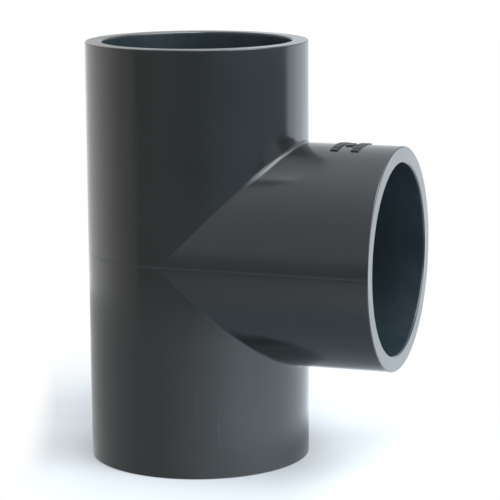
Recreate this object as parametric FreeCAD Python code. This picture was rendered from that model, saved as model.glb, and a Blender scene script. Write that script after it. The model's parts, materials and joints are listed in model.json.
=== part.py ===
import FreeCAD, Part
import math
import os

# Equal 90 degree tee with three plain solvent-cement sockets, moulded in one piece from PVC-U.
# Millimetres. The run stands along Z and the branch points along +X.
# The origin is the centre of the lower socket's mouth, on the plane that the tee stands on.

# ---- sockets and waterway ----
pipe_diameter = 63.0
socket_clearance = 0.2                  # on the diameter, filled by the cement
socket_depth = 37.5                     # mouth to stop shoulder
stop_height = 2.6                       # how far each shoulder stands in from the socket wall
lead_in = 0.4                           # broken edge that guides the pipe in, equal along and across

# ---- outside ----
laying_length = 32.5                    # crossing of the axes to each stop shoulder
body_radius = 37.0
mouth_edge_radius = 0.5                 # rounding round the outside of each mouth
crotch_radius = 1.2                     # fillet where the branch leaves the run

# ---- parting line: the mould opens along the run ----
parting_height = 0.12                   # how far it stands out of the skin
parting_width = 0.5

# ---- raised moulded marks on top of the branch: short plain bars, no lettering ----
mark_height = 0.5
mark_bar_length = 2.7                   # along the branch
mark_bar_width = 0.9                    # round the branch
mark_bar_pitch = 1.9                    # bar to bar, round the branch
mark_row_pitch = 3.45                   # row to row, along the branch
mark_bars_in_rows = (9, 3, 9)

# ---- worked out from the values above ----
socket_radius = (pipe_diameter + socket_clearance) / 2
mouth_radius = socket_radius + lead_in
waterway_radius = socket_radius - stop_height
centre_to_mouth = laying_length + socket_depth
run_length = 2 * centre_to_mouth

UP = FreeCAD.Vector(0, 0, 1)
DOWN = FreeCAD.Vector(0, 0, -1)
ALONG_BRANCH = FreeCAD.Vector(1, 0, 0)
LOWER_MOUTH = FreeCAD.Vector(0, 0, 0)
UPPER_MOUTH = FreeCAD.Vector(0, 0, run_length)
CROSSING = FreeCAD.Vector(0, 0, centre_to_mouth)
BRANCH_MOUTH = FreeCAD.Vector(centre_to_mouth, 0, centre_to_mouth)


def crossed_bars(radius):
    """Two solid round bars of one radius: the full run, and the branch out to its mouth."""
    run = Part.makeCylinder(radius, run_length, LOWER_MOUTH, UP)
    branch = Part.makeCylinder(radius, centre_to_mouth, CROSSING, ALONG_BRANCH)
    return run.fuse(branch).removeSplitter()


def is_mouth_edge(edge):
    """True for the three full circles at the ends of the crossed bars."""
    return isinstance(edge.Curve, Part.Circle) and edge.isClosed()


def is_crotch_edge(edge):
    """True for the curves where the two bars of equal radius cross, which are parts of ellipses."""
    return isinstance(edge.Curve, Part.Ellipse)


def outer_body():
    """The solid outside shape, with the crotch filled and the mouth edges rounded."""
    body = crossed_bars(body_radius)
    body = body.makeFillet(mouth_edge_radius, [edge for edge in body.Edges if is_mouth_edge(edge)])
    return body.makeFillet(crotch_radius, [edge for edge in body.Edges if is_crotch_edge(edge)])


def parting_ridge():
    """The fine line left by the mould, in the level plane through the branch's axis."""
    reach = centre_to_mouth + body_radius
    corner = FreeCAD.Vector(-reach, -reach, centre_to_mouth - parting_width / 2)
    slab = Part.makeBox(reach + centre_to_mouth - mouth_edge_radius, 2 * reach, parting_width, corner)
    return crossed_bars(body_radius + parting_height).common(slab)


def raised_bar(middle, turn):
    """One bar on the branch: middle is its place along the branch, turn its angle from the top."""
    start = middle - mark_bar_length / 2
    outside = Part.makeCylinder(
        body_radius + mark_height, mark_bar_length, FreeCAD.Vector(start, 0, centre_to_mouth), ALONG_BRANCH
    )
    corner = FreeCAD.Vector(start, -mark_bar_width / 2, centre_to_mouth + body_radius / 2)
    bar = outside.common(Part.makeBox(mark_bar_length, mark_bar_width, body_radius, corner))
    bar.rotate(CROSSING, ALONG_BRANCH, turn)
    return bar


def raised_marks():
    """Rows of plain bars that run round the branch, in the middle of its clear length, centred on top."""
    bars = []
    pitch_angle = math.degrees(mark_bar_pitch / body_radius)
    for row, count in enumerate(mark_bars_in_rows):
        middle = (body_radius + centre_to_mouth) / 2 + (row - 1) * mark_row_pitch
        for index in range(count):
            bars.append(raised_bar(middle, (index - (count - 1) / 2) * pitch_angle))
    return bars


def socket_space(mouth, inward):
    """What one socket takes out: the pipe's bore down to the shoulder, and the lead-in chamfer."""
    bore = Part.makeCylinder(socket_radius, socket_depth, mouth, inward)
    chamfer = Part.makeCone(mouth_radius, socket_radius, lead_in, mouth, inward)
    return bore.fuse(chamfer)


def tee_body():
    """The whole moulding."""
    body = outer_body().fuse([parting_ridge()] + raised_marks())
    hollow = crossed_bars(waterway_radius).fuse([
        socket_space(LOWER_MOUTH, UP),
        socket_space(UPPER_MOUTH, DOWN),
        socket_space(BRANCH_MOUTH, -ALONG_BRANCH),
    ])
    return body.cut(hollow)


os.makedirs("parts", exist_ok=True)
tee_body().exportStep("parts/tee_body.step")
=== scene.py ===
"""Looks for the one-piece PVC pipe tee: its finished skin, the plastic's surface, and a plain pale studio."""
import json
import math

import bmesh
import bpy
from mathutils import Matrix, Vector, noise


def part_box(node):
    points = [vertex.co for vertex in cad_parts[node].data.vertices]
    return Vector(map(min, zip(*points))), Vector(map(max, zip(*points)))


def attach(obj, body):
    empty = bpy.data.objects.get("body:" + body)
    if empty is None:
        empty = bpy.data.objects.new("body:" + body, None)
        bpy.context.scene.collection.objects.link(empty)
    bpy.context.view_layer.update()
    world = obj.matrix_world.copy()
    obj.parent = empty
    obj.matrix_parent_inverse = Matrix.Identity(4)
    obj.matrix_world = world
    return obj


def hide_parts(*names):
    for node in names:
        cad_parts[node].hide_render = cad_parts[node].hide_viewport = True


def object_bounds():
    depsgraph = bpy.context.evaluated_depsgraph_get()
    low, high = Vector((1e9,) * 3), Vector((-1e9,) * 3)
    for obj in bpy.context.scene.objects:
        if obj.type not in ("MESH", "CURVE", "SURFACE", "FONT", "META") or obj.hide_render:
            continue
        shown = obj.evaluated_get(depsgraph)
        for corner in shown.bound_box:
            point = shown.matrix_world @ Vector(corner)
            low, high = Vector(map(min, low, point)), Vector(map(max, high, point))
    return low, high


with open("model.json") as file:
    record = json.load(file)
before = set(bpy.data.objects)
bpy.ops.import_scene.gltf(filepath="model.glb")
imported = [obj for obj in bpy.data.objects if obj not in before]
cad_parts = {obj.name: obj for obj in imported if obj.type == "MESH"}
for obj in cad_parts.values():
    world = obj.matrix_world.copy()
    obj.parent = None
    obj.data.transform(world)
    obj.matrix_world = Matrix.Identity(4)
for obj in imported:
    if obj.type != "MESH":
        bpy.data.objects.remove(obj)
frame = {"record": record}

MM = 0.001
NODE = "tee_body"

# ---- sizes of the tee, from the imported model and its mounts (metres) ----
cad_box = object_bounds()
mounts = {mount["name"]: mount for mount in frame["record"]["mounts"]}
REACH, _, HEIGHT = mounts["branch_rim"]["pos_m"]            # crossing to each mouth, floor to crossing
SOCKET_RADIUS = mounts["branch_socket"]["dims"]["r_mm"] * MM
LEAD_IN = mounts["lower_socket"]["pos_m"][2]
SOCKET_DEPTH = LEAD_IN + mounts["lower_socket"]["dims"]["length_mm"] * MM

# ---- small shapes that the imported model's mounts don't give ----
RIDGE_HEIGHT = 0.12 * MM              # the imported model's parting ridge
PARTING_HEIGHT = 0.05 * MM            # what is left of it once it has been rubbed down
PARTING_TOP, PARTING_FOOT = 0.06 * MM, 0.27 * MM       # half widths of its top and its foot
BODY_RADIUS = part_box(NODE)[1].y - RIDGE_HEIGHT
STOP_HEIGHT = 2.6 * MM                # of the shoulder at the bottom of each socket
WATERWAY_RADIUS = SOCKET_RADIUS - STOP_HEIGHT
CROTCH_RADIUS = 1.2 * MM              # outer fillet where the branch leaves the run
INNER_EDGE_RADIUS = 0.6 * MM          # rounding where the bores cross
MOUTH_EDGE_RADIUS = 0.4 * MM
CHAMFER_EDGE_RADIUS = 0.15 * MM       # both edges of the lead-in
STOP_EDGE_RADIUS = 0.4 * MM

MARK_HEIGHT = 0.5 * MM                # raised bars on top of the branch
MARK_LENGTH = 2.7 * MM                # along the branch
MARK_WIDTH = 0.9 * MM                 # round the branch
MARK_PITCH = 1.9 * MM                 # bar to bar, round the branch
MARK_ROW_PITCH = 3.45 * MM
MARK_COUNTS = (9, 3, 9)               # bars in each row
MARK_MIDDLE = (BODY_RADIUS + REACH) / 2
MARK_MARGIN = 0.8 * MM                # plain wall that the mesh keeps in front of the first bar
MARK_EDGE = 0.16 * MM                 # width of a bar's leaning side
MARK_BEND = 0.6                       # share of that width where the side softens
MARK_BEND_HEIGHT = 0.84               # and the share of the height there

GATE_HALF_WIDTH = 3.4 * MM            # trimmed gate on the back, on the parting line
GATE_HALF_HEIGHT = 1.1 * MM
GATE_PROUD = 0.25 * MM
GATE_EDGE = 0.2 * MM                  # width of its leaning ends
GATE_SLOPE_IN, GATE_SLOPE_OUT = 0.15 * MM, 0.1 * MM    # of its upper and lower side
GATE_TEAR, GATE_TEAR_SIZE = 0.35, 0.8 * MM             # unevenness where it was cut

SINK_DEPTH = 0.035 * MM               # over the thicker wall at each stop shoulder
SINK_WIDTH = 3.5 * MM
SINK_SHIFT = 2 * MM                   # from the shoulder towards the crossing

SLOW_WAVE, SLOW_HEIGHT = 34 * MM, 0.045 * MM           # shrinkage waves: length and height
QUICK_WAVE, QUICK_HEIGHT = 11 * MM, 0.010 * MM
QUICK_SHIFT = Vector((7.3, 1.9, 4.4))                  # keeps the two sets of waves apart

CROSSING = Vector((0, 0, HEIGHT))
X, Y, Z = Vector((1, 0, 0)), Vector((0, 1, 0)), Vector((0, 0, 1))
QUARTER = math.pi / 2


def lerp(a, b, t):
    return a + (b - a) * t


def ramp(low, high, value):
    """0 below low, 1 above high, smooth between."""
    t = min(max((value - low) / (high - low), 0.0), 1.0)
    return t * t * (3 - 2 * t)


def steps(count):
    """Evenly spaced shares above 0, up to 1."""
    return [(i + 1) / count for i in range(count)]


# ---- relief on the moulded skin ----

def parting_relief(offset):
    """The fine ridge that the two halves of the mould leave."""
    return PARTING_HEIGHT * (1 - ramp(PARTING_TOP, PARTING_FOOT, abs(offset)))


def swell(point):
    """Slow waves left by uneven shrinkage, a few hundredths of a millimetre high."""
    slow = noise.noise(point / SLOW_WAVE)
    quick = noise.noise(point / QUICK_WAVE + QUICK_SHIFT)
    return SLOW_HEIGHT * slow + QUICK_HEIGHT * quick


def bar_share(offset, half):
    """Height share across one raised bar, with leaning sides and a softened top edge."""
    inside = (half - abs(offset)) / MARK_EDGE
    if inside <= 0:
        return 0.0
    if inside >= 1:
        return 1.0
    if inside < MARK_BEND:
        return MARK_BEND_HEIGHT * inside / MARK_BEND
    return lerp(MARK_BEND_HEIGHT, 1.0, (inside - MARK_BEND) / (1 - MARK_BEND))


def mark_relief(along, round_way):
    """Height of the raised bars at a place on the branch: along it, and round it from the top."""
    for row, count in enumerate(MARK_COUNTS):
        across = bar_share(along - MARK_MIDDLE - (row - 1) * MARK_ROW_PITCH, MARK_LENGTH / 2)
        index = round(round_way / MARK_PITCH)
        if across > 0 and abs(index) <= (count - 1) // 2:
            return MARK_HEIGHT * across * bar_share(round_way - index * MARK_PITCH, MARK_WIDTH / 2)
    return 0.0


def gate_relief(side, offset):
    """The trimmed gate: a low, slightly uneven pad across the parting line."""
    inside = 1 - ramp(GATE_HALF_WIDTH - GATE_EDGE, GATE_HALF_WIDTH, abs(side))
    inside *= 1 - ramp(GATE_HALF_HEIGHT - GATE_SLOPE_IN, GATE_HALF_HEIGHT + GATE_SLOPE_OUT, abs(offset))
    torn = 1 + GATE_TEAR * noise.noise(Vector((side, offset, 0)) / GATE_TEAR_SIZE)
    return GATE_PROUD * inside * torn


def sink_relief(axial):
    """A shallow sink over the thicker wall at the stop shoulder."""
    place = (axial - (REACH - SOCKET_DEPTH) + SINK_SHIFT) / SINK_WIDTH
    return -SINK_DEPTH * math.exp(-place * place)


def skin_relief(point, arm):
    """How far the outer skin stands off its plain cylinders at a point."""
    offset = point.z - HEIGHT
    relief = swell(point) + parting_relief(offset)
    if arm == "branch":
        relief += sink_relief(point.x)
        if offset > 0:
            relief += mark_relief(point.x, math.atan2(point.y, offset) * BODY_RADIUS)
    elif arm == "run":
        relief += sink_relief(abs(offset))
        if point.x < 0:
            relief += gate_relief(point.y, offset)
    return relief


# ---- where the mesh has its lines ----

# Distances from a blend, or from the line where the run's front and back meet, at which lines lie close.
FINE_OFFSETS = [value * MM for value in (0.06, 0.12, 0.19, 0.27, 0.4, 0.65, 0.95, 1.08, 1.2, 1.6)]
COARSE_COLUMN = 2 * math.pi / 184     # angle between the even columns
CROWDED = 0.45                        # an even column this share of that angle from another line is left out
EDGE_GAP = 0.1 * MM                   # from a rounded edge to the line next to it
RUN_ROWS = 36                         # even rows along an arm of the run
BEFORE_MARKS_ROWS, AFTER_MARKS_ROWS = 18, 9            # and along the branch
WATERWAY_ROWS = 12
RIM_ROWS = 6                          # rim, its inner edge and the lead-in, which keep the skin's finish
SKIN_SEGMENTS, BORE_SEGMENTS = 8, 4   # faces across the outer and the inner rounding where the tubes cross
LEAST_BLEND = 0.05 * MM               # a narrower rounding is a single line


def bar_edges(middle, half):
    """The lines that one bar needs across it."""
    inner = [half - MARK_EDGE * share for share in (0.0, MARK_BEND, 1.0)]
    return [middle - value for value in inner] + [middle + value for value in reversed(inner)]


def merged(fixed, coarse, gap):
    """The fixed values, and every coarse one that isn't crowded by them, in order."""
    return sorted(fixed + [c for c in coarse if all(abs(c - f) > gap for f in fixed)])


def column_angles(middle, special):
    """Angles over half a turn about middle: its ends with close ones next to them, special and even ones."""
    ends = [offset / BODY_RADIUS for offset in [0.0] + FINE_OFFSETS[:6]]
    fixed = [middle - QUARTER + end for end in ends] + [middle + QUARTER - end for end in ends] + special
    count = round(math.pi / COARSE_COLUMN)
    coarse = [middle - QUARTER + math.pi * i / count for i in range(1, count)]
    return merged(fixed, coarse, COARSE_COLUMN * CROWDED)


def mark_columns():
    """Angles of the lines round the branch that the bars need."""
    half = (max(MARK_COUNTS) - 1) // 2
    lines = []
    for index in range(-half, half + 1):
        lines += bar_edges(index * MARK_PITCH, MARK_WIDTH / 2)
    return [line / BODY_RADIUS for line in lines]


def gate_columns():
    """Angles of the lines round the run that the gate needs."""
    edges = [GATE_HALF_WIDTH - GATE_EDGE * share for share in (0.0, 0.5, 1.0)]
    inner = [GATE_HALF_WIDTH * share for share in (0.0, 0.2, 0.4, 0.6, 0.8)]
    lines = sorted(set([-value for value in edges + inner] + edges + inner))
    return [math.pi + line / BODY_RADIUS for line in lines]


UPPER = column_angles(0.0, mark_columns())           # front of the run above the crossing
LOWER = column_angles(0.0, [])                       # front of the run below it
BACK = column_angles(math.pi, gate_columns())[1:-1]  # back of the run, shared by both


# ---- the closed mesh ----

points, faces, face_kinds = [], [], []
SKIN, BORE = 0, 1


def add_point(position):
    points.append(position)
    return len(points) - 1


def add_face(corners, kind):
    """Adds a face, leaving out corners that are one and the same point."""
    unique = []
    for corner in corners:
        if corner not in unique:
            unique.append(corner)
    if len(unique) > 2:
        faces.append(unique)
        face_kinds.append(kind)


def add_strip(first, second, kind, closed):
    """Faces between two lists of points of one length."""
    count = len(first)
    for i in range(count if closed else count - 1):
        j = (i + 1) % count
        add_face([first[i], first[j], second[j], second[i]], kind)


def blend_columns(angles, side, radius, blend, segments, relief):
    """The blend where two tubes of equal radius cross, on the upper (side 1) or lower (side -1) half.
    A ball of the blend's radius rolls between the tubes. It dies away where they touch, at the two ends.
    Returns for each angle the points from the run's contact line to the branch's."""
    columns = []
    for angle in angles:
        c, s = math.cos(angle), math.sin(angle)
        centre = CROSSING + (radius + blend) * Vector((c, s, side * c))
        run_way, branch_way = Vector((c, s, 0)), Vector((0, s, side * c))
        opening = math.acos(min(s * s, 1.0))
        if opening * blend < LEAST_BLEND:
            way = (run_way + branch_way).normalized()
            touch = centre - blend * way
            columns.append([add_point(touch + way * relief(touch))] * (segments + 1))
            continue
        column = []
        for i in range(segments + 1):
            t = i / segments
            way = run_way * math.sin((1 - t) * opening) + branch_way * math.sin(t * opening)
            way = way / math.sin(opening)
            touch = centre - blend * way
            column.append(add_point(touch + way * relief(touch)))
        columns.append(column)
    return columns


def add_crossing(radius, blend, segments, kind, relief):
    """The middle of one crossing of tubes, skin or bore. Returns the start rings of the three arms."""
    upper = blend_columns(UPPER, 1, radius, blend, segments, relief)
    lower = blend_columns(LOWER, -1, radius, blend, segments, relief)
    lower[0], lower[-1] = upper[0], upper[-1]        # both end where the tubes touch
    for columns in (upper, lower):
        for first, second in zip(columns, columns[1:]):
            add_strip(first, second, kind, closed=False)
    back = []
    for angle in BACK:
        way = Vector((math.cos(angle), math.sin(angle), 0))
        touch = CROSSING + radius * way
        back.append(add_point(touch + way * relief(touch)))
    return {
        "up": [column[0] for column in upper] + back,
        "down": [column[0] for column in lower] + back,
        "branch": [column[-1] for column in upper] + [column[-1] for column in reversed(lower[1:-1])],
    }


ARMS = {
    "up": (X, Y, Z, UPPER + BACK),
    "down": (X, Y, -Z, LOWER + BACK),
    "branch": (Z, Y, X, UPPER + [math.pi - angle for angle in reversed(LOWER[1:-1])]),
}


def corner(radial, axial, radius, start, end, count):
    """A rounded corner of a tube's profile. Its angles are in degrees, from outward (0) to mouthward (90)."""
    turns = [math.radians(lerp(start, end, i / count)) for i in range(count + 1)]
    return [(radial + radius * math.cos(t), axial + radius * math.sin(t)) for t in turns]


def mouth_profile():
    """(radius, distance from the crossing) round the outer edge, and on over the rim down to the waterway."""
    mouth_radius = SOCKET_RADIUS + LEAD_IN
    shoulder = REACH - SOCKET_DEPTH
    small, root = CHAMFER_EDGE_RADIUS, STOP_EDGE_RADIUS
    shift = small * math.tan(math.radians(22.5))
    outer = corner(BODY_RADIUS - MOUTH_EDGE_RADIUS, REACH - MOUTH_EDGE_RADIUS, MOUTH_EDGE_RADIUS, 0, 90, 6)
    rim = [(BODY_RADIUS - MOUTH_EDGE_RADIUS - EDGE_GAP, REACH), (mouth_radius + shift + EDGE_GAP, REACH)]
    rim_edge = corner(mouth_radius + shift, REACH - small, small, 90, 135, 2)
    chamfer_end = corner(SOCKET_RADIUS + small, REACH - LEAD_IN - shift, small, 135, 180, 2)
    shares = [0.02] + steps(10)[:-1] + [0.985]
    wall = [(SOCKET_RADIUS, lerp(REACH - LEAD_IN - shift, shoulder + root, share)) for share in shares]
    root_curve = corner(SOCKET_RADIUS - root, shoulder + root, root, 0, -90, 3)
    step_edge = corner(WATERWAY_RADIUS + root, shoulder - root, root, 90, 180, 4)
    return outer, rim + rim_edge + chamfer_end + wall + root_curve + step_edge


def wall_rows(arm, start):
    """Places along the outer wall of one arm, from its start at the blend to the rounding of the mouth."""
    end = REACH - MOUTH_EDGE_RADIUS
    near = [start + offset for offset in FINE_OFFSETS]
    if arm != "branch":
        return near + [lerp(near[-1], end, t) for t in steps(RUN_ROWS)][:-1] + [end - EDGE_GAP]
    marks = []
    for row in range(len(MARK_COUNTS)):
        marks += bar_edges(MARK_MIDDLE + (row - 1) * MARK_ROW_PITCH, MARK_LENGTH / 2)
    before = marks[0] - MARK_MARGIN
    between_rows = [(a + b) / 2 for a, b in zip(marks[5::6], marks[6::6])]
    bar_middles = [(a + b) / 2 for a, b in zip(marks[2::6], marks[3::6])]
    constant = sorted(marks + between_rows + bar_middles)
    after = [lerp(marks[-1], end, t) for t in steps(AFTER_MARKS_ROWS)][:-1] + [end - EDGE_GAP]
    return near + [lerp(near[-1], before, t) for t in steps(BEFORE_MARKS_ROWS)] + constant + after


def add_arm(name, outer_start, inner_start):
    """One arm: outer wall, mouth, socket and waterway, from the skin's start ring to the bore's."""
    first, second, axis, angles = ARMS[name]
    kind_name = "branch" if name == "branch" else "run"
    outer_curve, inner_curve = mouth_profile()

    def start_of(angle, radius):
        reach = radius * math.cos(angle)
        return abs(reach) if name == "branch" else max(reach, 0.0)

    def place(angle, radial, axial, share):
        way = first * math.cos(angle) + second * math.sin(angle)
        spot = CROSSING + axis * axial + way * radial
        lift = share * skin_relief(spot, kind_name) if share else 0.0
        return add_point(spot + way * lift)

    starts = [wall_rows(name, start_of(angle, BODY_RADIUS + CROTCH_RADIUS)) for angle in angles]
    rows = [outer_start]
    for i in range(len(starts[0])):
        rows.append([place(a, BODY_RADIUS, starts[k][i], 1) for k, a in enumerate(angles)])
    for i, (radial, axial) in enumerate(outer_curve):
        share = 1 - i / (len(outer_curve) - 1)
        rows.append([place(a, radial, axial, share) for a in angles])
    skin_rows = len(rows) + RIM_ROWS
    for radial, axial in inner_curve:
        rows.append([place(a, radial, axial, 0) for a in angles])
    shoulder = inner_curve[-1][1]
    bore_ends = [start_of(angle, WATERWAY_RADIUS + INNER_EDGE_RADIUS) for angle in angles]
    near = [FINE_OFFSETS[i] for i in (4, 2, 0)]
    for t in [0.03] + steps(WATERWAY_ROWS)[:-1]:
        reaches = [lerp(shoulder, end + near[0], t) for end in bore_ends]
        rows.append([place(a, WATERWAY_RADIUS, reach, 0) for a, reach in zip(angles, reaches)])
    for offset in near:
        rows.append([place(a, WATERWAY_RADIUS, end + offset, 0) for a, end in zip(angles, bore_ends)])
    rows.append(inner_start)
    for i, (one, two) in enumerate(zip(rows, rows[1:])):
        add_strip(one, two, SKIN if i < skin_rows else BORE, closed=True)


def no_relief(_point):
    return 0.0


SHARP_EDGE = math.radians(33)         # faces that meet at more than this keep a crisp edge between them


def build_tee(materials):
    """The finished skin of the whole moulding as one closed mesh."""
    outer = add_crossing(
        BODY_RADIUS, CROTCH_RADIUS, SKIN_SEGMENTS, SKIN, lambda point: skin_relief(point, "blend"))
    inner = add_crossing(WATERWAY_RADIUS, INNER_EDGE_RADIUS, BORE_SEGMENTS, BORE, no_relief)
    for name in ARMS:
        add_arm(name, outer[name], inner[name])
    mesh = bpy.data.meshes.new("tee_skin")
    mesh.from_pydata([tuple(point) for point in points], [], faces)
    mesh.polygons.foreach_set("material_index", face_kinds)
    for material in materials:
        mesh.materials.append(material)
    work = bmesh.new()
    work.from_mesh(mesh)
    bmesh.ops.delete(work, geom=[vertex for vertex in work.verts if not vertex.link_faces], context="VERTS")
    bmesh.ops.recalc_face_normals(work, faces=work.faces)
    for face in work.faces:
        face.smooth = True
    for edge in work.edges:
        edge.smooth = edge.calc_face_angle(0.0) < SHARP_EDGE
    work.to_mesh(mesh)
    work.free()
    tee = bpy.data.objects.new("tee_skin", mesh)
    bpy.context.scene.collection.objects.link(tee)
    return tee


# ---- materials ----

class Nodes:
    """A short way to write node trees."""

    def __init__(self, tree):
        self.tree = tree
        tree.nodes.clear()

    def add(self, kind, inputs=None, **settings):
        node = self.tree.nodes.new(kind)
        for key, value in settings.items():
            setattr(node, key, value)
        for key, value in (inputs or {}).items():
            self.put(value, node.inputs[key])
        return node

    def put(self, value, socket):
        if isinstance(value, bpy.types.NodeSocket):
            self.tree.links.new(value, socket)
        else:
            socket.default_value = value

    def math(self, operation, *values):
        return self.add("ShaderNodeMath", dict(enumerate(values)), operation=operation).outputs[0]

    def product(self, first, *rest):
        for value in rest:
            first = self.math("MULTIPLY", first, value)
        return first

    def total(self, first, *rest):
        for value in rest:
            first = self.math("ADD", first, value)
        return first

    def without(self, share):
        """What the share leaves over of 1."""
        return self.math("SUBTRACT", 1.0, share)

    def along(self, vector, direction):
        """How far a vector goes in a direction."""
        node = self.add("ShaderNodeVectorMath", {0: vector, 1: tuple(direction)}, operation="DOT_PRODUCT")
        return node.outputs["Value"]

    def length(self, vector):
        return self.add("ShaderNodeVectorMath", {0: vector}, operation="LENGTH").outputs["Value"]

    def ramp(self, value, low, high, out_low=0.0, out_high=1.0):
        """Smooth change from out_low to out_high as value goes from low to high."""
        node = self.add("ShaderNodeMapRange", {
            "Value": value, "From Min": low, "From Max": high, "To Min": out_low, "To Max": out_high,
        }, interpolation_type="SMOOTHSTEP")
        return node.outputs["Result"]

    def table(self, value, low, high, top, stops):
        """Straight lines through (value, height) stops, for values from low to high and heights up to top."""
        ends = {"Value": value, "From Min": low, "From Max": high}
        share = self.add("ShaderNodeMapRange", ends).outputs["Result"]
        node = self.add("ShaderNodeFloatCurve", {"Value": share})
        curve = node.mapping.curves[0]
        while len(curve.points) < len(stops):
            curve.points.new(0.5, 0.5)
        for point, (place, height) in zip(curve.points, stops):
            point.location = ((place - low) / (high - low), height / top)
            point.handle_type = "VECTOR"
        node.mapping.update()
        return self.math("MULTIPLY", node.outputs[0], top)

    def noise(self, vector, scale, detail, rough):
        """Noise from 0 to 1, with about scale waves in a metre."""
        node = self.add("ShaderNodeTexNoise", {
            "Vector": vector, "Scale": scale, "Detail": detail, "Roughness": rough,
        })
        return node.outputs["Fac"]

    def stretched(self, vector, x, y, z):
        node = self.add("ShaderNodeMapping", {"Vector": vector, "Scale": (x, y, z)})
        return node.outputs["Vector"]

    def mix(self, factor, a, b):
        """A colour between a and b."""
        node = self.add("ShaderNodeMix", data_type="RGBA")
        self.put(factor, node.inputs[0])
        self.put(a, node.inputs[6])
        self.put(b, node.inputs[7])
        return node.outputs[2]

    def blend(self, factor, a, b):
        """A shader between a and b."""
        return self.add("ShaderNodeMixShader", {0: factor, 1: a, 2: b}).outputs[0]

    def glow(self, colour, strength):
        return self.add("ShaderNodeEmission", {"Color": colour, "Strength": strength}).outputs[0]

    def ray_is(self, kind):
        """1 for rays of a kind, such as Camera, and 0 for all others."""
        return self.add("ShaderNodeLightPath").outputs[f"Is {kind} Ray"]

    def finish(self, kind, shader):
        self.put(shader, self.add(f"ShaderNodeOutput{kind}").inputs["Surface"])


PVC_COLOUR = (0.0085, 0.0100, 0.0108)
PVC_COLOUR_DEEP = (0.0075, 0.0090, 0.0098)
PVC_WORN = (0.030, 0.033, 0.035, 1)
PVC_IOR = 1.53
LEAST_ROUGHNESS = 0.05
BUMP_HEIGHT, BUMP_STRENGTH = 0.06 * MM, 0.35
MOTTLE_SCALE, GRAIN_SCALE, DUST_SCALE = 38.0, 2600.0, 900.0
DUST_AMOUNT = 0.175
SKIN_TONE = (1, 1, 1)
SOCKET_PAINTED_LIGHT_TONE = (1.4, 2.0, 2.3)         # painted light: lighter and bluer than the skin, standing in for the light that reaches into the sockets


def toned(colour, tone):
    return tuple(part * scale for part, scale in zip(colour, tone)) + (1,)


def scuff_lines(n, place, scuff):
    """Fine scratches along and across the run, only in some patches."""
    lengthwise = n.noise(n.stretched(place, 900.0, 900.0, 35.0), 1.0, 2.0, 0.6)
    crosswise = n.noise(n.stretched(place, 60.0, 700.0, 1100.0), 1.0, 2.0, 0.6)
    patches = n.ramp(n.noise(place, 24.0, 3.0, 0.6), 0.50, 0.66)
    lines = n.math("MAXIMUM", n.ramp(lengthwise, 0.66, 0.74), n.ramp(crosswise, 0.68, 0.76))
    return n.product(lines, patches, scuff)


def pvc_material(name, tone, roughness, scuff, draw_marks):
    """Dark rigid PVC-U: a tight moulded skin with faint mottling, fine scuffs and dust.
    tone scales its colour. draw_marks adds the fine lines of a core that was pulled out along Z."""
    material = bpy.data.materials.new(name)
    material.use_nodes = True
    n = Nodes(material.node_tree)
    place = n.add("ShaderNodeTexCoord").outputs["Object"]

    mottle = n.noise(place, MOTTLE_SCALE, 4.0, 0.55)
    skin_grain = n.noise(place, GRAIN_SCALE, 2.0, 0.5)
    scuffs = scuff_lines(n, place, scuff)
    dust = n.product(n.ramp(n.noise(place, DUST_SCALE, 2.0, 0.6), 0.66, 0.76), DUST_AMOUNT)

    colour = n.mix(n.ramp(mottle, 0.35, 0.65), toned(PVC_COLOUR_DEEP, tone), toned(PVC_COLOUR, tone))
    colour = n.mix(n.math("MAXIMUM", scuffs, dust), colour, PVC_WORN)

    gloss = n.total(n.ramp(mottle, 0.3, 0.7, -0.025, 0.035), roughness, n.product(scuffs, 0.25))
    height = n.total(n.product(skin_grain, 0.10), n.product(mottle, 0.6), n.product(scuffs, -0.25))
    if draw_marks:
        draw_lines = n.noise(n.stretched(place, 450.0, 450.0, 25.0), 1.0, 2.0, 0.5)
        height = n.total(height, n.product(draw_lines, 0.5))
        gloss = n.total(gloss, n.ramp(draw_lines, 0.4, 0.7, 0.0, 0.08))
    bump = n.add("ShaderNodeBump", {"Strength": BUMP_STRENGTH, "Distance": BUMP_HEIGHT, "Height": height})
    shader = n.add("ShaderNodeBsdfPrincipled", {
        "Base Color": colour, "Roughness": n.math("MAXIMUM", gloss, LEAST_ROUGHNESS), "IOR": PVC_IOR,
        "Normal": bump.outputs["Normal"],
    })
    n.finish("Material", shader.outputs[0])
    return material


# ---- studio ----

CAMERA_TURN = math.radians(20.75)     # round the run to the camera, from straight in front to the right
CAMERA_SIDE = Vector((math.sin(CAMERA_TURN), -math.cos(CAMERA_TURN), 0))
CAMERA_RIGHT = Vector((math.cos(CAMERA_TURN), math.sin(CAMERA_TURN), 0))

WHITE = (1, 1, 1, 1)
BLACK = (0, 0, 0, 1)
# painted light: the paper's tint shifts from left to right with the light, and the spill colour tints a glow
# that stands in for light on the paper
PAPER_PAINTED_TINT_LEFT, PAPER_PAINTED_TINT_RIGHT = (0.341, 0.353, 0.362, 1), (0.333, 0.353, 0.374, 1)
PAPER_GRAIN = 0.015
SPILL_COLOUR = (0.91, 0.95, 0.99, 1)

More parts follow.
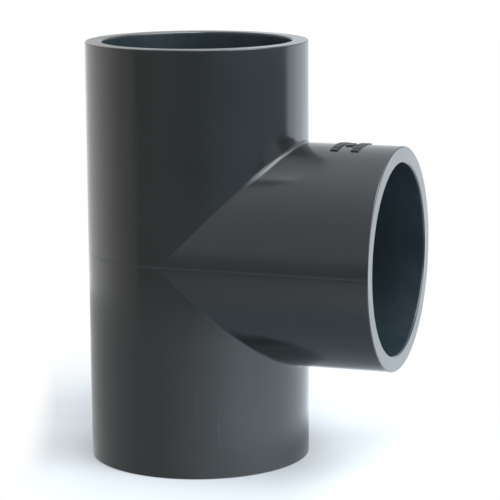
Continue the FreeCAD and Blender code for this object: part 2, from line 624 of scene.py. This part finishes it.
# Brightness round the tee: (degrees from the camera's side, positive to its right; level).
ROUND, TOP_LEVEL = 180, 2.5
# painted light: the levels of the floor's glow that the tee sees round it
FLOOR_LEVELS = (
    (-180, 1.0), (-160, 0.86), (-145, 0.74), (-127, 0.80), (-100, 0.77), (-84, 0.72), (-69, 0.66),
    (-51, 0.63), (-41, 0.67), (-31, 0.74), (-20, 0.82), (-9, 0.93), (3, 1.12), (13, 1.28), (24, 1.53),
    (34, 1.75), (45, 1.95), (66, 2.05), (96, 2.0), (126, 1.84), (141, 1.62), (156, 1.2), (180, 0.95),
)
HORIZON_LEVELS = (
    (-180, 1.0), (-165, 1.25), (-150, 1.17), (-130, 1.30), (-114, 1.28), (-100, 1.11), (-88, 0.86),
    (-75, 0.72), (-69, 0.70), (-65, 0.43), (-40, 0.45), (-33, 0.46), (-20, 0.42), (-11, 0.36), (0, 0.36),
    (13, 0.42), (20, 0.49), (31, 0.50), (43, 0.57), (55, 0.61), (69, 0.60), (103, 0.56), (107, 1.9),
    (126, 2.08), (141, 1.58), (156, 1.33), (180, 1.0),
)
# Brightness by height: (degrees above the horizon; level).
SKY_LEVELS = ((0, 0.85), (16, 0.90), (34, 0.92), (50, 1.05), (60, 1.18), (70, 1.38), (80, 1.6), (90, 1.65))
TOP_SKY_LEVEL = 2.0
# Painted light, the brightness of the floor's glow seen steeply: (distance from the run's axis; level).
STEEP_LEVELS = ((39 * MM, 0.58), (73 * MM, 0.65), (136 * MM, 0.76))

WINDOW_LEVEL = 8.0
LAMP_LEVEL = 5.0
SCATTER_GAIN = 2.2                    # painted light: extra glow of the floor for light that the tee scatters but doesn't mirror
PAINTED_SHEEN = 2.6                           # painted sheen: how much brighter the floor's glow is for steep rays that head right
SCREEN_SHADE = 0.55                   # share of the light that the screen behind the tee takes away


def shown_floor(n, place, right, front):
    """The floor as the camera sees it: pale paper in soft light, with a painted tint, painted spill light and
    two painted shadows, fading into the white beyond.
    """
    # painted tint: the paper is more neutral on the left, where it lies in shade, and bluer on the right
    paper = n.mix(n.ramp(right, -60 * MM, 10 * MM), PAPER_PAINTED_TINT_LEFT, PAPER_PAINTED_TINT_RIGHT)
    grain = n.ramp(n.noise(place, 700.0, 3.0, 0.6), 0.3, 0.7)
    paper = n.mix(n.product(grain, PAPER_GRAIN), paper, BLACK)
    matte = n.add("ShaderNodeBsdfDiffuse", {"Color": paper}).outputs[0]

    # painted light and painted shadows: a glow on the paper, stronger to the right, a little more in front
    # and far left, less two soft shadows behind the tee
    right_light = n.ramp(right, 24 * MM, 54 * MM, 0.24, 0.50)
    front_light = n.ramp(front, 0, 30 * MM, 0.0, 0.04)
    left_light = n.ramp(right, -50 * MM, -30 * MM, 0.05, 0.0)
    left_shade = n.ramp(front, -75 * MM, -25 * MM, 0.21, 0.0)
    left_shade = n.product(left_shade, n.ramp(right, -35 * MM, 20 * MM, 1.0, 0.0))
    right_shade = n.product(n.ramp(front, -20 * MM, 12 * MM, 0.12, 0.0), n.ramp(right, 20 * MM, 34 * MM))
    light = n.total(right_light, front_light, left_light)
    spill = n.math("SUBTRACT", light, n.total(left_shade, right_shade))
    near = n.add("ShaderNodeAddShader", {0: matte, 1: n.glow(SPILL_COLOUR, spill)}).outputs[0]

    away = n.length(n.add("ShaderNodeCombineXYZ", {0: n.product(right, 1.6), 1: front}).outputs[0])
    beyond = n.math("MAXIMUM", n.ramp(away, 78 * MM, 185 * MM), n.ramp(right, -62 * MM, -50 * MM, 1.0, 0.0))
    return n.blend(beyond, near, n.glow(WHITE, 1.0))


def shallow_floor_level(n, flat, turn, away):
    """Brightness of the floor's glow for rays that come in low, with painted shade under the branch and close
    to the run.
    """
    level = n.table(turn, -ROUND, ROUND, TOP_LEVEL, FLOOR_LEVELS)
    under_branch = (29 * MM, 21 * MM, 0)
    gap = n.add("ShaderNodeVectorMath", {0: flat, 1: under_branch}, operation="DISTANCE").outputs["Value"]
    # painted shade: darker under the branch and near the run's foot, on its right and on its back left
    near_right = n.product(n.ramp(turn, -10, 40, 0.0, 0.2), n.ramp(away, 58 * MM, 92 * MM, 1.0, 0.0),
                           n.ramp(turn, 88, 112, 1.0, 0.0))
    near_left = n.product(n.ramp(turn, -140, -112, 0.28, 0.0), n.ramp(away, 46 * MM, 72 * MM, 1.0, 0.0))
    shade = n.ramp(gap, 10 * MM, 50 * MM, 0.3, 1.0)
    return n.product(level, shade, n.without(n.total(near_right, near_left)))


def mirrored_floor(n, flat, right, front):
    """The floor as the tee sees it: a glow of painted light and painted shade, dim on the left of the camera,
    bright on its right, and gone far away.
    """
    away = n.length(flat)
    turn = n.math("DEGREES", n.math("ARCTAN2", right, n.math("SUBTRACT", front, BODY_RADIUS / 2)))
    shallow = shallow_floor_level(n, flat, turn, away)

    incoming = n.add("ShaderNodeNewGeometry").outputs["Incoming"]
    # painted sheen: the glow is brighter for steep rays that head right
    painted_sheen = n.ramp(n.along(incoming, CAMERA_RIGHT), -0.20, 0.0, PAINTED_SHEEN, 1.0)
    steep = n.product(n.table(away, STEEP_LEVELS[0][0], STEEP_LEVELS[-1][0], 1.0, STEEP_LEVELS), painted_sheen)
    steepness = n.ramp(n.along(incoming, Z), 0.42, 0.80)

    level = n.total(n.product(shallow, n.without(steepness)), n.product(steep, steepness))
    # painted light: a stronger glow for rays that the tee scatters
    level = n.product(level, n.math("MULTIPLY_ADD", n.ray_is("Diffuse"), SCATTER_GAIN, 1.0))
    tint = n.mix(n.ramp(turn, -70, 10), (0.96, 0.99, 1.0, 1), (0.90, 0.99, 1.07, 1))
    tint = n.mix(steepness, tint, (0.85, 1.0, 1.10, 1))
    clear = n.add("ShaderNodeBsdfTransparent").outputs[0]
    return n.blend(n.ramp(away, 272 * MM, 302 * MM), n.glow(tint, level), clear)


def floor_material():
    """Pale paper, slightly blue in the shade. The camera and the tee each see their own version of it, both
    with painted light and painted shade.
    """
    material = bpy.data.materials.new("pale_floor")
    material.use_nodes = True
    n = Nodes(material.node_tree)
    place = n.add("ShaderNodeTexCoord").outputs["Object"]
    flat = n.add("ShaderNodeVectorMath", {0: place, 1: (1, 1, 0)}, operation="MULTIPLY").outputs[0]
    right, front = n.along(flat, CAMERA_RIGHT), n.along(flat, CAMERA_SIDE)
    mirrored, shown = mirrored_floor(n, flat, right, front), shown_floor(n, place, right, front)
    n.finish("Material", n.blend(n.ray_is("Camera"), mirrored, shown))
    return material


FLOOR_HALF_SIZE = 40.0
FLOOR_GAP = 0.02 * MM                 # keeps the tee's lower rim clear of the paper


def make_floor():
    half = FLOOR_HALF_SIZE
    mesh = bpy.data.meshes.new("floor")
    corners = [(-half, -half, 0), (half, -half, 0), (half, half, 0), (-half, half, 0)]
    mesh.from_pydata(corners, [], [(0, 1, 2, 3)])
    mesh.materials.append(floor_material())
    floor = bpy.data.objects.new("floor", mesh)
    floor.location.z = cad_box[0].z - FLOOR_GAP
    bpy.context.scene.collection.objects.link(floor)


def window_level(n, turn, rise):
    """A tall soft window high on the right. Its left edge leans, and its lower left corner is dark."""
    edge = n.total(turn, n.product(n.math("SUBTRACT", rise, 40.0), 0.6))
    width = n.product(n.ramp(edge, 0, 14), n.ramp(turn, 60, 165, 1.0, 0.0))
    sill = n.math("MAXIMUM", n.ramp(rise, 40, 55), n.ramp(turn, 72, 98, 1.0, 0.0))
    climb = n.table(rise, -2, 66, 1.0, ((-2, 0.0), (66, 1.0)))
    dark_corner = n.product(n.ramp(turn, 50, 85, 1.0, 0.0), n.ramp(rise, 48, 62, 1.0, 0.0))
    return n.product(width, sill, climb, n.without(dark_corner), WINDOW_LEVEL)


def lamp_level(n, turn, rise):
    """A softbox in front on the right. Its right edge leans outward."""
    leaning = n.math("MULTIPLY_ADD", rise, -0.5, turn)
    width = n.product(n.ramp(turn, 26, 40), n.ramp(leaning, 53, 61, 1.0, 0.0))
    return n.product(width, n.ramp(rise, 6, 18), n.ramp(rise, 42, 54, 1.0, 0.0), LAMP_LEVEL)


def kicker_level(n, turn, rise):
    """A little more light low down behind the branch, on the way that its rim mirrors."""
    width = n.product(n.ramp(turn, 138, 143), n.ramp(turn, 145, 150, 1.0, 0.0))
    return n.product(width, n.ramp(rise, -7.6, -6.4, 0.45, 0.0))


def screen_share(n, right, front, rise):
    """A narrow grey screen straight behind the tee, on the way that the upper rim mirrors."""
    sideways = n.math("ABSOLUTE", n.total(right, 0.0157))
    width = n.product(n.ramp(sideways, 0.032, 0.040, 1.0, 0.0), n.ramp(front, -0.6, -0.5, 1.0, 0.0))
    return n.product(width, n.ramp(rise, 3, 7), n.ramp(rise, 16, 24, 1.0, 0.0))


def room_tint(n, turn, rise):
    """Neutral far left, warm left of the camera, and cool on the right and overhead."""
    tint = n.mix(n.ramp(turn, -125, -95), (0.98, 0.99, 1.0, 1), (1.0, 0.98, 0.95, 1))
    tint = n.mix(n.ramp(turn, -60, 30), tint, (0.84, 1.0, 1.10, 1))
    tint = n.mix(n.ramp(turn, 100, 112), tint, (0.93, 1.0, 1.07, 1))
    return n.mix(n.ramp(rise, 8, 20), tint, (0.94, 1.0, 1.04, 1))


def make_world():
    """White to the camera. The tee sees a room: dim round the camera, lighter overhead and at the back."""
    world = bpy.data.worlds.new("studio")
    bpy.context.scene.world = world
    world.use_nodes = True
    n = Nodes(world.node_tree)
    way = n.add("ShaderNodeTexCoord").outputs["Generated"]
    right, front = n.along(way, CAMERA_RIGHT), n.along(way, CAMERA_SIDE)
    turn = n.math("DEGREES", n.math("ARCTAN2", right, front))
    rise = n.math("DEGREES", n.math("ARCSINE", n.along(way, Z)))

    horizon = n.table(turn, -ROUND, ROUND, TOP_LEVEL, HORIZON_LEVELS)
    sky = n.product(n.table(rise, 0, 90, TOP_SKY_LEVEL, SKY_LEVELS), n.ramp(front, -0.40, 0.0, 1.14, 1.0))
    above = n.ramp(rise, -8, 12)
    room = n.total(n.product(horizon, n.without(above)), n.product(sky, above))
    lamps = (window_level(n, turn, rise), lamp_level(n, turn, rise), kicker_level(n, turn, rise))
    strength = n.total(room, *lamps)
    screen = screen_share(n, right, front, rise)
    strength = n.product(strength, n.math("MULTIPLY_ADD", screen, -SCREEN_SHADE, 1.0))

    tint = room_tint(n, turn, rise)
    light = n.add("ShaderNodeBackground", {"Color": tint, "Strength": strength}).outputs[0]
    white = n.add("ShaderNodeBackground", {"Color": WHITE, "Strength": 1.0}).outputs[0]
    n.finish("World", n.blend(n.ray_is("Camera"), light, white))


CAMERA_HEADING, CAMERA_RISE, CAMERA_ROLL = (math.radians(angle) for angle in (19.447, 10.567, -0.369))
CAMERA_DISTANCE = 743.1 * MM
CAMERA_LENS, CAMERA_SENSOR = 158.935, 36
AIM_RIGHT, AIM_DOWN = 17.2 * MM, 0.83 * MM      # where the camera aims, from the crossing


def make_camera():
    """A long lens, looking slightly down at the tee from its front right."""
    side = Vector((math.sin(CAMERA_HEADING), -math.cos(CAMERA_HEADING), 0))
    back = side * math.cos(CAMERA_RISE) + Z * math.sin(CAMERA_RISE)
    right = Vector((math.cos(CAMERA_HEADING), math.sin(CAMERA_HEADING), 0))
    up = back.cross(right)
    aim = CROSSING + right * AIM_RIGHT - up * AIM_DOWN
    right_rolled = right * math.cos(CAMERA_ROLL) + up * math.sin(CAMERA_ROLL)
    up_rolled = up * math.cos(CAMERA_ROLL) - right * math.sin(CAMERA_ROLL)
    turned = Matrix((right_rolled, up_rolled, back)).transposed()

    camera = bpy.data.objects.new("camera", bpy.data.cameras.new("camera"))
    camera.data.sensor_width = CAMERA_SENSOR
    camera.data.lens = CAMERA_LENS
    camera.data.clip_start, camera.data.clip_end = 0.05, 50
    camera.matrix_world = Matrix.Translation(aim + back * CAMERA_DISTANCE) @ turned.to_4x4()
    bpy.context.scene.collection.objects.link(camera)
    bpy.context.scene.camera = camera


tee = build_tee([
    pvc_material("pvc_u_skin", SKIN_TONE, roughness=0.16, scuff=0.45, draw_marks=False),
    # the sockets' colour is painted light, lighter and bluer than the skin
    pvc_material("pvc_u_socket", SOCKET_PAINTED_LIGHT_TONE, roughness=0.30, scuff=0.6, draw_marks=True),
])
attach(tee, "root")
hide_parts(NODE)

make_floor()
make_world()
make_camera()
bpy.context.scene.view_settings.view_transform = "Standard"
